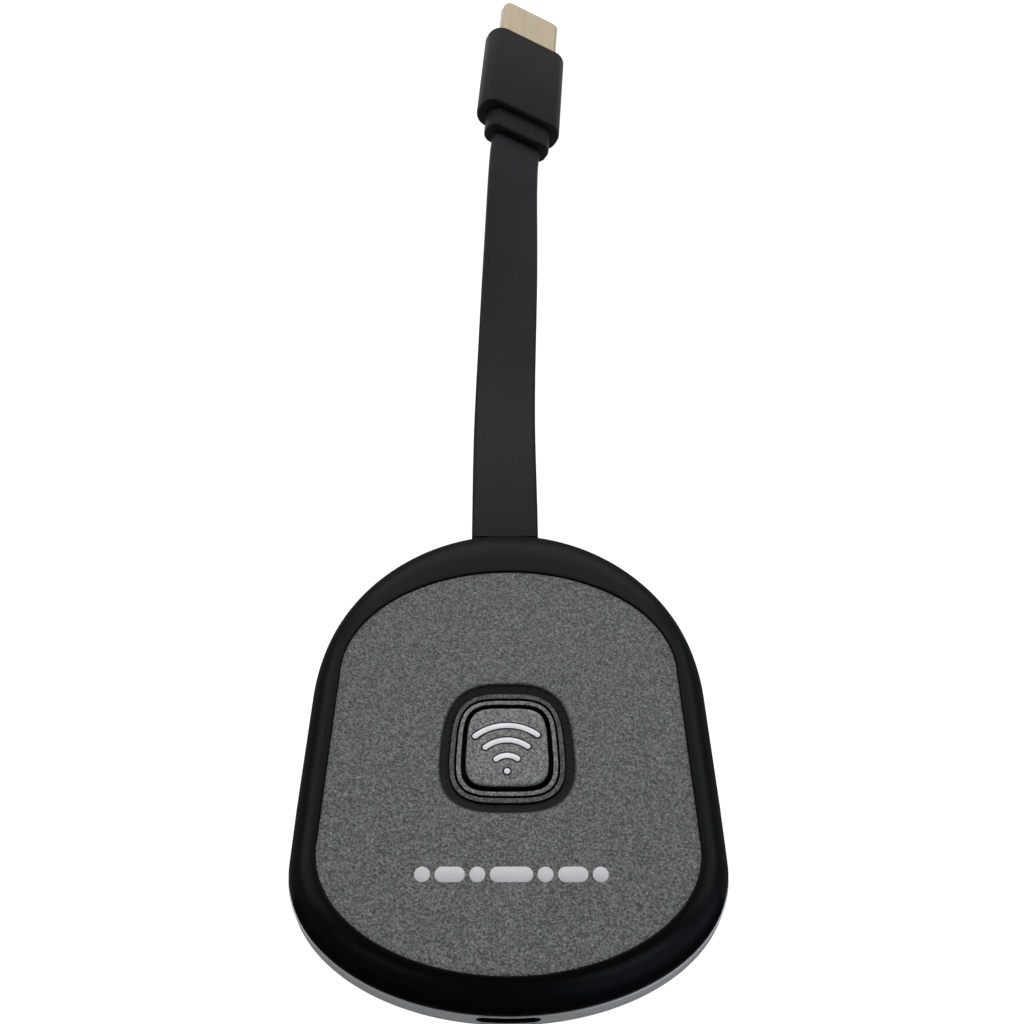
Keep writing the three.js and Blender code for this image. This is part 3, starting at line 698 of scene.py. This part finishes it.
SEAM = 4.5
SEAM_STEP = 0.2  # the silver tray stands out this far below the bezel at the near end
SEAM_EASE = 0.1
STEP_FADE = (9.8, 14.0)  # it starts this far before the middle and is whole this much further on
LIP_INSET = 1.2
LIP_EASE = 0.07
TONGUE_TOP = 6.1
TONGUE_GAP = 0.3
WALL = 1.9
TRAY_FLOOR = 1.3
FLAT_INSET = 8.0  # the underside is one flat face from here inwards
FOOT_ROUND = 0.9
TRAY_GAP = 0.1  # between the tray's rim and the bezel
TRAY_EASE = 0.25
RIM_FULLNESS = 1.85
RIM_STEPS = 22
POCKET_FLOOR = 10.3
DECK_UNDERSIDE = 9.1
HAUNCH = {"inset": 3.1, "z": 8.2}  # a bend in the slope from the deck's underside down to the wall
GROOVE = {"z": 1.25, "half": 0.1, "depth": 0.2}
SOCKET_SLOT = {"width": 8.9, "height": 2.3, "radius": 1.1, "rise": 0.3}  # rise over the socket's middle
LABEL_SEAT = {"width": 36, "length": 26, "depth": 0.35, "radius": 2}
SCREW_HOLES = ((3.9, 1.4), (2.1, TRAY_FLOOR + 1))  # width and top of the head's seat and the shank's hole
GLAND = (13.2, 3.6, 1.0)  # width, height and corner radius
GLAND_SEAT = (13.8, 4.2, 1.2)
GLAND_SEAT_BACK = 34.0
GLAND_FACE = 36.4  # the gland ends inside the wall, so that only the lead shows outside
GLAND_EASE = 0.3
MOUTH_END = 42.0  # outside the housing's far end


def stepped_in(inset):
    """The body's outline, drawn in by the inset, but only round its near end."""
    start, length = STEP_FADE
    pairs = zip(egg(BODY), egg(BODY, inset))
    return [p.lerp(q, min(1.0, max(0.0, (-p.y - start) / length))) for p, q in pairs]


def make_bezel():
    """The black upper half: a rim that sweeps up from the seam to the edge of the face pocket, and
    the deck under the inlay, with its aperture for the button."""
    top = box("upper_housing")[1].z
    edge = egg(PANEL, -PANEL_SPREAD - PANEL_GAP)
    lip = egg(PANEL, -PANEL_SPREAD - PANEL_GAP - LIP_EASE)
    wall = stepped_in(SEAM_STEP)
    base = SEAM + SEAM_EASE
    rings = [level(stepped_in(SEAM_STEP + SEAM_EASE), SEAM), level(wall, base)]
    for k in range(1, RIM_STEPS + 1):
        turn = math.pi / 2 * k / RIM_STEPS
        inward = 1 - math.cos(turn) ** (2 / RIM_FULLNESS) if k < RIM_STEPS else 1.0
        up = math.sin(turn) ** (2 / RIM_FULLNESS)
        rings.append(level(between(wall, lip, inward), base + (top - base) * up))
    rings += [level(between(lip, edge, a), top - LIP_EASE * b) for a, b in quarter(3)[1:]]
    rings.append(level(edge, POCKET_FLOOR))
    aperture = button_outline(*OUTER_RING["bore"])
    rings += [level(aperture, POCKET_FLOOR), level(aperture, DECK_UNDERSIDE)]
    rings += [level(egg(PANEL, WALL), DECK_UNDERSIDE), level(egg(BODY, HAUNCH["inset"]), HAUNCH["z"])]
    inside, rabbet, rabbet_top = egg(BODY, WALL), egg(BODY, LIP_INSET - TONGUE_GAP), TONGUE_TOP + TONGUE_GAP
    rings += [level(inside, rabbet_top + 0.1), level(rabbet, rabbet_top), level(rabbet, SEAM)]
    shell = carve(loft("bezel", rings, around=True), exit_cutters())
    piece("bezel", shell, SHINY_BLACK, replaces=["upper_housing"])


def screw_cutters():
    """For each screw, a wide hole for its head and a narrow one for its shank, up from the underside."""
    made = []
    below = 1.0
    for k in range(1, 5):
        screw = middle(f"housing_screw_{k}")
        for width, top in SCREW_HOLES:
            place = (screw.x, screw.y, (top - below) / 2)
            made.append(cutting_block(width, width, top + below, *place, radius=width / 2 - 0.01))
    return made


def label_cutter():
    """The shallow seat of the rating label in the underside."""
    label = middle("rating_label")
    width, length, depth, radius = [LABEL_SEAT[k] for k in ("width", "length", "depth", "radius")]
    return cutting_block(width, length, 2 * depth, label.x, label.y, 0, radius=radius)


def socket_cutter():
    """The slot before the power socket, right through the near wall."""
    near, height = BODY[0].y, middle("usb_socket_shell").z + SOCKET_SLOT["rise"]
    outline = rounded_rect(*[SOCKET_SLOT[k] for k in ("width", "height", "radius")])
    slot = resample(outline, SECTION_POINTS)
    place = Matrix.Translation((0, 0, height))
    return loft("cutter", [upright(slot, near - 2), upright(slot, near + 6)], place=place)


def make_tray():
    """The silver-grey lower half, with a fine parting groove round its wall. Its tongue and its inner
    wall are black."""
    wall, top = egg(BODY), SEAM - TRAY_GAP
    rings = [level(egg(BODY, FLAT_INSET), 0), level(egg(BODY, FOOT_ROUND), 0)]
    rings += [level(egg(BODY, FOOT_ROUND * (1 - a)), FOOT_ROUND * b) for a, b in quarter(6)[1:]]
    z, half, bottom = GROOVE["z"], GROOVE["half"], egg(BODY, GROOVE["depth"])
    rings += [level(wall, z - half), level(bottom, z - half / 2)]
    rings += [level(bottom, z + half / 2), level(wall, z + half)]
    rings += [level(egg(BODY, TRAY_EASE * b), top - TRAY_EASE + TRAY_EASE * a) for a, b in quarter(6)]
    silver_rings = len(rings)
    tongue, inside = egg(BODY, LIP_INSET), egg(BODY, WALL)
    rings += [level(tongue, top), level(tongue, TONGUE_TOP)]
    rings += [level(inside, TONGUE_TOP), level(inside, TRAY_FLOOR)]
    tray = loft("tray", rings)
    paint(tray, OUTLINE_POINTS, silver_rings - 1, len(rings) - 1, 1)
    cutters = [label_cutter(), socket_cutter(), *exit_cutters(), *screw_cutters()]
    # The cut faces, but for the label's seat, take the black: painted shade in the socket slot, the lead's
    # way out and the screw holes.
    shell = carve(tray, cutters, (SILVER, SHINY_BLACK), plain=1)
    piece("tray", shell, replaces=["lower_shell"])


def lead_hole(gap, radius):
    """The lead's section with a gap about it, to cut or line its way out."""
    outline = rounded_rect(LEAD["width"] + gap, LEAD["thickness"] + gap, radius)
    return resample(outline, SECTION_POINTS)


def exit_cutters():
    """The seat for the gland in the far end, between both halves, and the lead's way out past it."""
    gland = middle("lead_gland")
    place = Matrix.Translation((gland.x, 0, gland.z))
    face = GLAND_FACE + 0.1
    seat = resample(rounded_rect(*GLAND_SEAT), SECTION_POINTS)
    mouth = lead_hole(0.5, 1.2)
    return [
        loft("cutter", [upright(seat, GLAND_SEAT_BACK), upright(seat, face)], place=place),
        loft("cutter", [upright(mouth, face - 1), upright(mouth, MOUTH_END)], place=place),
    ]


def make_gland():
    """The rubber bush that the lead comes through."""
    back, at = box("lead_gland")[0].y, middle("lead_gland")
    place = Matrix.Translation((at.x, 0, at.z))
    outer = resample(rounded_rect(*GLAND), SECTION_POINTS)
    bore = lead_hole(0.4, 1.0)
    shoulder = GLAND_FACE - GLAND_EASE
    rings = [upright(outer, back), upright(outer, shoulder)]
    rings += [upright(shrink(outer, GLAND_EASE * b), shoulder + GLAND_EASE * a) for a, b in quarter(4)[1:]]
    rings += [upright(bore, GLAND_FACE), upright(bore, back)]
    gland = loft("gland", rings, around=True, place=place)
    piece("gland", gland, RUBBER, replaces=["lead_gland"])


PANEL_EASE = 0.1
FLAT_STEPS, MOAT_STEPS = 6, 5
MOAT_FLOOR = 0.3  # height of the moat's foot over the inlay's underside


def make_face_panel():
    """The grained inlay. Its edge is eased, and it rolls over softly into the dark moat round the
    button."""
    low, high = box("face_panel")
    side, ease, shoulder = egg(PANEL, -PANEL_SPREAD), PANEL_EASE, high.z - PANEL_EASE
    rings = [level(side, low.z), level(side, shoulder)]
    rings += [level(egg(PANEL, ease * b - PANEL_SPREAD), shoulder + ease * a) for a, b in quarter(4)[1:]]
    flat = level(egg(PANEL, 0.5), high.z)
    mouth, roll, depth = MOAT["mouth"], MOAT["roll"], MOAT["roll_depth"]
    edge = level(button_outline(*mouth, roll), high.z)
    rings += [between(flat, edge, k / FLAT_STEPS) for k in range(FLAT_STEPS + 1)]
    shares = [0.0] * len(rings)
    for a, b in quarter(8)[1:]:
        rings.append(level(button_outline(*mouth, roll * (1 - a)), high.z - depth * b))
        shares.append(min(1.0, max(0.0, a * 1.6 - 0.5)))  # the dark comes in part way down the roll
    foot = button_outline(*MOAT["foot"])
    lip, sill = rings[-1], level(foot, low.z + MOAT_FLOOR)
    rings += [between(lip, sill, k / MOAT_STEPS) for k in range(1, MOAT_STEPS + 1)]
    rings.append(level(foot, low.z))
    shares += [1.0] * (len(rings) - len(shares))
    panel = loft("panel", rings, around=True)
    paint_dark_and_shade(panel, shares)
    piece("face_inlay", panel, PANEL_GREY, replaces=["face_panel"])


RING_EASE = 0.07
RING_FLANGE = (1.2, 0.8)


def make_button_ring(name, node, shape, material, flange=None):
    """A band round the button with eased upper edges and sides darkened with painted shade, and a flange
    of (reach, thickness) at its foot."""
    low, high = box(node)
    outer, bore, ease, shoulder = shape["outer"], shape["bore"], RING_EASE, high.z - RING_EASE
    rings, foot = [], low.z
    if flange:
        reach, thickness = flange
        foot += thickness
        rings = [level(button_outline(*outer, reach), z) for z in (low.z, foot)]
    rings += [level(button_outline(*outer), z) for z in (foot, shoulder)]
    # Painted shade: the flange, the sides and the bore go dark, fading out over the eased edges to a clear
    # top.
    shares = [1.0] * len(rings) + [0.5, 0.0, 0.0, 0.0, 0.0, 0.5, 1.0, 1.0]
    rings += [level(button_outline(*outer, -ease * b), shoulder + ease * a) for a, b in quarter(3)[1:]]
    rings += [level(button_outline(*bore, ease * b), shoulder + ease * a) for a, b in quarter(3)[::-1]]
    rings.append(level(button_outline(*bore), low.z))
    band = loft(name, rings, around=True)
    paint_dark_and_shade(band, shares)
    piece(name, band, material, replaces=[node])


def round_ring(radius, z):
    """A circle about the button's middle with as many points as the outlines, from the near side."""
    turns = [-math.pi / 2 + 2 * math.pi * k / OUTLINE_POINTS for k in range(OUTLINE_POINTS)]
    at = BUTTON_PLACE
    return [Vector((at.x + radius * math.cos(t), at.y + radius * math.sin(t), z)) for t in turns]


STEM_RADIUS = 1.5
SKIRT, FLANGE_TOP = 7.4, 8.1  # heights of the cap's lower edge and of the flange that holds it in
FLANGE_OUT = 1.1
SKIN = 1.2
CROWN = 0.08  # the rise of the cap's face towards its middle
CROWN_INSETS = (1.2, 2.5, 4.0)


def make_button():
    """The cap: a shallow pillow with an eased edge and sides darkened with painted shade, hollow below,
    with a stem over the switch."""
    low, high = box("button_cap")
    top, ceiling = high.z, high.z - SKIN
    rings = [round_ring(STEM_RADIUS - 0.1, low.z), round_ring(STEM_RADIUS, low.z + 0.1)]
    rings.append(round_ring(STEM_RADIUS, ceiling))
    inside, flange, side = [button_outline(*CAP, grow) for grow in (-SKIN, FLANGE_OUT, 0.0)]
    rings += [level(inside, ceiling), level(inside, SKIRT)]
    rings += [level(flange, SKIRT), level(flange, FLANGE_TOP), level(side, FLANGE_TOP)]
    shoulder = top - CROWN - CAP_EASE
    rings.append(level(side, shoulder))
    # Painted shade: the cap is dark below its eased edge, and the dark fades out over the edge.
    shares = [1.0] * len(rings) + [0.8, 0.4, 0.1]
    rings += [level(button_outline(*CAP, -CAP_EASE * b), shoulder + CAP_EASE * a) for a, b in quarter(6)[1:]]
    for inset in CROWN_INSETS:
        height = top - CROWN + CROWN * inset / CROWN_INSETS[-1]
        rings.append(level(button_outline(*CAP, -inset), height))
    data = loft("button_face", rings)
    paint_dark_and_shade(data, shares + [0.0] * (len(rings) - len(shares)))
    piece("button_face", data, BUTTON_GREY, body="button", replaces=["button_cap"])


# A print's lower edge, its upper edge and its top, as heights over the face that it lies on.
SHADOW_LAYERS = (-0.05, 0.002, 0.008)
INK_LAYERS = (-0.03, 0.015, 0.03)


def print_layer(name, outline, face, layers, ease):
    """A thin closed layer that starts just under a flat face and has an eased upper edge."""
    lower, edge, top = [face + height for height in layers]
    return loft(name, [level(outline, lower), level(outline, edge), level(shrink(outline, ease), top)])


def printed_mark(name, outline, face, material, body, painted_shadow=0.0):
    """A thin layer of ink on a flat face, over a wider dark layer: a painted shadow round the ink."""
    points = resample(outline, INK_POINTS)
    if painted_shadow:
        # The painted shadow: a wider dark layer just under the ink.
        shadow_layer = print_layer(name, shrink(points, -painted_shadow), face, SHADOW_LAYERS, 0.02)
        piece(f"{name}_keyline", shadow_layer, PRINT_SHADOW, body=body)
    piece(name, print_layer(name, points, face, INK_LAYERS, 0.03), material, body=body)


SYMBOL = {"dot": 0.44, "radii": (2.48, 4.95, 7.32), "half_angle": 39.0, "stroke": 0.8}
# How far the painted shadow reaches out round the dot and round the arcs.
SYMBOL_SHADOW_REACH = {"dot": 0.24, "arc": 0.22}
ARC_SPANS, TIP_SPANS = 40, 12
SYMBOL_PLACE = (-0.2, -6.5)
SYMBOL_LEAN = math.radians(1.3)  # the print sits a little askew on the cap


def make_symbol():
    """The wireless symbol on the button: a dot and three arcs about it."""
    top = box("button_cap")[1].z
    centre = Vector(SYMBOL_PLACE)
    dot = [centre + SYMBOL["dot"] * Vector(p) for p in circle()]
    printed_mark("symbol_dot", dot, top, SYMBOL_INK, "button", SYMBOL_SHADOW_REACH["dot"])
    half, swing = SYMBOL["stroke"] / 2, math.radians(SYMBOL["half_angle"])

    def polar(radius, turn):
        return centre + radius * Vector((math.sin(turn - SYMBOL_LEAN), math.cos(turn - SYMBOL_LEAN)))

    def tip(radius, side):
        """The half circle that rounds off an arc's end."""
        start = side * swing if side < 0 else swing + math.pi
        turns = [start - math.pi * k / TIP_SPANS for k in range(1, TIP_SPANS)]
        turns = [t - SYMBOL_LEAN for t in turns]
        return [polar(radius, side * swing) + half * Vector((math.sin(t), math.cos(t))) for t in turns]

    sweep = [swing - 2 * swing * k / ARC_SPANS for k in range(ARC_SPANS + 1)]
    for number, radius in enumerate(SYMBOL["radii"], 1):
        outline = [polar(radius + half, turn) for turn in sweep] + tip(radius, -1)
        outline += [polar(radius - half, turn) for turn in sweep[::-1]] + tip(radius, 1)
        name = f"symbol_arc_{number}"
        printed_mark(name, outline, top, SYMBOL_INK, "button", SYMBOL_SHADOW_REACH["arc"])


MARK = {"x": 0.4, "y": -21.9, "height": 2.2, "gap": 0.62, "widths": (2.2, 4.2, 2.2, 6.0, 2.2, 4.2, 2.2)}


def make_panel_mark():
    """A plain row of printed dots and pills across the face."""
    top = box("face_panel")[1].z
    total = sum(MARK["widths"]) + MARK["gap"] * (len(MARK["widths"]) - 1)
    x = MARK["x"] - total / 2
    for number, width in enumerate(MARK["widths"], 1):
        outline = rounded_rect(width, MARK["height"], MARK["height"] / 2 - 0.01)
        outline = [(x + width / 2 + p[0], MARK["y"] + p[1]) for p in outline]
        printed_mark(f"panel_mark_{number}", outline, top, INK, "housing")
        x += width + MARK["gap"]


CROSS_REACH, CROSS_WIDTH, CROSS_DEPTH = 2.1, 0.42, 0.6


def make_screw(number):
    """A pan-head screw with a cross recess, head down."""
    node = f"housing_screw_{number}"
    low, high = box(node)
    at, long = middle(node), high.z - low.z
    profile = [(1.2, 0.0), (1.55, 0.08), (1.75, 0.28), (1.8, 0.5), (1.8, 1.1)]  # radius and height
    profile += [(0.9, 1.1), (0.9, long - 0.8), (0.15, long)]
    rings = [[Vector((at.x + r * x, at.y + r * y, low.z + z)) for x, y in circle()] for r, z in profile]
    bars = ((CROSS_REACH, CROSS_WIDTH), (CROSS_WIDTH, CROSS_REACH))
    cross = [cutting_block(w, d, 2 * CROSS_DEPTH, at.x, at.y, low.z, radius=0.12) for w, d in bars]
    piece(f"screw_{number}", carve(loft("screw", rings), cross), STEEL, replaces=[node])


LABEL_RADIUS, LABEL_EASE = 1.8, 0.05


def make_label():
    """The rating label on the underside, left blank."""
    low, high = box("rating_label")
    at = middle("rating_label")
    outline = resample(rounded_rect(high.x - low.x, high.y - low.y, LABEL_RADIUS), SECTION_POINTS)
    outline = [Vector((at.x, at.y)) + p for p in outline]
    rings = [level(shrink(outline, LABEL_EASE), low.z), level(outline, low.z + LABEL_EASE)]
    rings.append(level(outline, high.z))
    piece("blank_label", loft("blank_label", rings), LABEL, replaces=["rating_label"])


POWER_SHELL = {"width": 7.5, "height": 2.4, "radius": 0.4, "chamfer": (0.9, 0.9), "wall": 0.25}


def make_power_socket():
    """The metal shell of the power socket, with its mouth at the near end."""
    low, high = box("usb_socket_shell")
    turn = Matrix.Rotation(math.pi, 4, "Z")
    place = Matrix.Translation((0, 0, middle("usb_socket_shell").z)) @ turn
    shell = stamped_shell("power_socket", POWER_SHELL, 0.0, -high.y, -low.y, place)
    piece("power_socket", shell, STEEL, replaces=["usb_socket_shell"])


# ---- Stage ------------------------------------------------------------------

FLOOR = {"reach": 1500, "split": 110, "height": -0.02, "glow": 0.94}
FLAG = {"wider": 12, "end": -22, "height": -0.5}
CARD = {"corners": [(16, -200), (200, -200), (200, -26), (42, -26), (16, -50)], "height": -1.0}
CARD_COLOUR, CARD_GLOW = (0.6, 0.68, 1.0), 0.9


def light_up(material, colour, strength):
    """Makes a material give off light of its own."""
    shader = material.node_tree.nodes["Principled BSDF"]
    shader.inputs["Emission Color"].default_value = (*colour, 1.0)
    shader.inputs["Emission Strength"].default_value = strength


def lay_sheet(name, corners, height, material, in_reflections):
    """A flat sheet of the studio at a height, which reflections either show or leave out."""
    data = bpy.data.meshes.new(name)
    data.from_pydata([Vector((x, y, height)) * MM for x, y in corners], [], [range(len(corners))])
    data.materials.append(material)
    sheet = bpy.data.objects.new(name, data)
    bpy.context.scene.collection.objects.link(sheet)
    sheet.visible_glossy = in_reflections


def make_floor():
    """A pale floor that glows a little, so that it stays white under soft light. It is in two parts:
    only the one about the plug shows in reflections."""
    paper = procedural("floor", (0.2, 0.2, 0.2), 0.9, specular=0.0, vary=0.0, rough_vary=0.0)
    light_up(paper, (1.0, 1.0, 1.0), FLOOR["glow"])
    reach, split = FLOOR["reach"], FLOOR["split"]
    near_part = [(-reach, -reach), (reach, -reach), (reach, split), (-reach, split)]
    far_part = [(-reach, split), (reach, split), (reach, reach), (-reach, reach)]
    lay_sheet("floor", near_part, FLOOR["height"], paper, False)
    lay_sheet("floor_beyond", far_part, FLOOR["height"], paper, True)


def make_reflectors():
    """Two sheets under the floor's nearer part, where only reflections meet them. A black flag round
    the housing's near end keeps its rim dark, and a bluish card tints the rim on the right."""
    black = procedural("flag_black", (0.001, 0.001, 0.001), 0.9, specular=0.0)
    around = [(p.x, p.y) for p in egg(BODY, -FLAG["wider"]) if p.y < FLAG["end"]]
    lay_sheet("flag", around, FLAG["height"], black, True)
    blue = procedural("card_blue", (0.01, 0.01, 0.01), 0.9, specular=0.0)
    light_up(blue, CARD_COLOUR, CARD_GLOW)
    lay_sheet("card", CARD["corners"], CARD["height"], blue, True)


LIGHTS_AIM = (0.0, 0.06, 0.0)
# Each light's name, place and size in metres, power in watts and colour.
LIGHTS = (
    ("key", (0.0, 0.8, 1.05), (1.6, 0.6), 10.9, (1.0, 1.0, 1.0)),
    ("far", (0.0, 1.26, 0.5), (1.8, 0.95), 10.5, (1.0, 1.0, 1.0)),
    ("left", (-1.2, 0.35, 0.6), (1.5, 1.15), 14.0, (1.0, 1.0, 1.0)),
    ("right", (1.2, 0.35, 0.6), (1.5, 1.15), 14.0, (0.93, 0.95, 1.0)),
    ("window", (0.65, -0.8, 0.22), (0.65, 0.45), 3.0, (0.88, 0.93, 1.0)),
    ("corner", (-0.65, -0.8, 0.22), (0.65, 0.45), 1.0, (1.0, 1.0, 1.0)),
)
WORLD_STRENGTH = 0.12


def area_light(name, place, size, power, colour):
    data = bpy.data.lights.new(name, "AREA")
    data.color = colour
    data.shape, data.size, data.size_y, data.energy = "RECTANGLE", *size, power
    light = bpy.data.objects.new(name, data)
    light.location = place
    light.rotation_euler = (Vector(LIGHTS_AIM) - Vector(place)).to_track_quat("-Z", "Y").to_euler()
    bpy.context.scene.collection.objects.link(light)


def make_lights():
    """The soft studio: the lights in the table, and a dim even surround."""
    for light in LIGHTS:
        area_light(*light)
    world = bpy.data.worlds.new("world")
    bpy.context.scene.world = world
    world.use_nodes = True
    background = world.node_tree.nodes["Background"]
    background.inputs["Color"].default_value = (1.0, 1.0, 1.0, 1.0)
    background.inputs["Strength"].default_value = WORLD_STRENGTH
    bpy.context.scene.view_settings.view_transform = "Standard"


# ---- Scene ------------------------------------------------------------------

make_camera()
dress_cad_nodes()
lead, lead_centres, lead_length = make_lead()
make_plug(plug_place())
make_bezel()
make_tray()
make_gland()
make_face_panel()
make_button_ring("outer_lip", "button_outer_ring", OUTER_RING, RING_GREY)
make_button_ring("inner_lip", "button_inner_ring", INNER_RING, BUTTON_GREY, RING_FLANGE)
make_button()
make_symbol()
make_panel_mark()
for screw_number in range(1, 5):
    make_screw(screw_number)
make_label()
make_power_socket()
make_floor()
make_reflectors()
make_lights()
